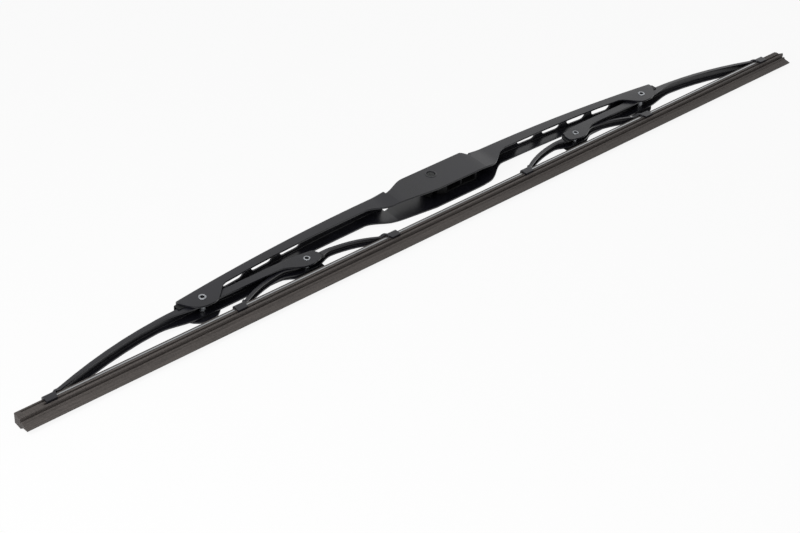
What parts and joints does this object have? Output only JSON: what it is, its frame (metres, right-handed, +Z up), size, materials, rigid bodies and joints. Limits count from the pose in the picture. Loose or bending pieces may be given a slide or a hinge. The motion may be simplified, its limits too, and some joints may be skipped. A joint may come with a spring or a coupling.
{
  "type": "windscreen wiper blade",
  "caption": "Conventional frame wiper blade: a pressed bridge with pivoted levers and yokes whose claws hold a rubber element, and a hook clip for the wiper arm.",
  "frame": {"origin": "middle of the arm pin, on its axis", "axes": "+X along the blade, +Z up from the surface it lies on, +Y towards the bridge's back; the blade lies tilted by 8.9 degrees about X, on the front edge of the bridge's box and on its claws"},
  "size_m": [0.53, 0.041, 0.0156],
  "materials": {
    "satin_black_paint": "satin",
    "bright_steel": "satin",
    "rivet_steel": "satin",
    "wiper_rubber": "matte",
    "black_plastic": "matte"
  },
  "bodies": {
    "bridge": {"main_bridge": "satin_black_paint", "lever_liner_left": "black_plastic", "lever_liner_right": "black_plastic", "lever_rivet_left": "rivet_steel", "lever_rivet_right": "rivet_steel", "arm_pin": "satin_black_paint", "rubber_element": "wiper_rubber", "spine_near": "bright_steel", "spine_far": "bright_steel"},
    "left_lever": {"lever_left": "satin_black_paint", "yoke_liner_left": "black_plastic", "yoke_rivet_left": "rivet_steel"},
    "right_lever": {"lever_right": "satin_black_paint", "yoke_liner_right": "black_plastic", "yoke_rivet_right": "rivet_steel"},
    "left_yoke": {"yoke_left": "satin_black_paint"},
    "right_yoke": {"yoke_right": "satin_black_paint"},
    "clip": {"hook_clip": "black_plastic"}
  },
  "joints": [
    {"name": "clip_swing", "type": "hinge", "parent": "bridge", "child": "clip", "pos_m": [0, 0, 0], "axis": [0, -0.155, 0.9879], "range_deg": [-8, 75]},
    {"name": "left_lever_pivot", "type": "hinge", "parent": "bridge", "child": "left_lever", "pos_m": [-0.1556, -0.01037, -0.00163], "axis": [0, -0.155, 0.9879], "range_deg": [-1.5, 3.5], "stiffness_Nm_per_rad": 1, "deforming": ["rubber_element", "spine_near", "spine_far"]},
    {"name": "right_lever_pivot", "type": "hinge", "parent": "bridge", "child": "right_lever", "pos_m": [0.1556, -0.01037, -0.00163], "axis": [0, -0.155, 0.9879], "range_deg": [-3.5, 1.5], "stiffness_Nm_per_rad": 1, "deforming": ["rubber_element", "spine_near", "spine_far"]},
    {"name": "left_yoke_pivot", "type": "hinge", "parent": "left_lever", "child": "left_yoke", "pos_m": [-0.0959, -0.01492, -0.00234], "axis": [0, -0.155, 0.9879], "range_deg": [-1.5, 0.65]},
    {"name": "right_yoke_pivot", "type": "hinge", "parent": "right_lever", "child": "right_yoke", "pos_m": [0.0959, -0.01492, -0.00234], "axis": [0, -0.155, 0.9879], "range_deg": [-0.65, 1.5]}
  ],
  "couplings": [
    {"joint": "right_lever_pivot", "follows": "left_lever_pivot", "ratio": -1},
    {"joint": "left_yoke_pivot", "follows": "left_lever_pivot", "ratio": -0.42},
    {"joint": "right_yoke_pivot", "follows": "left_lever_pivot", "ratio": 0.42}
  ]
}
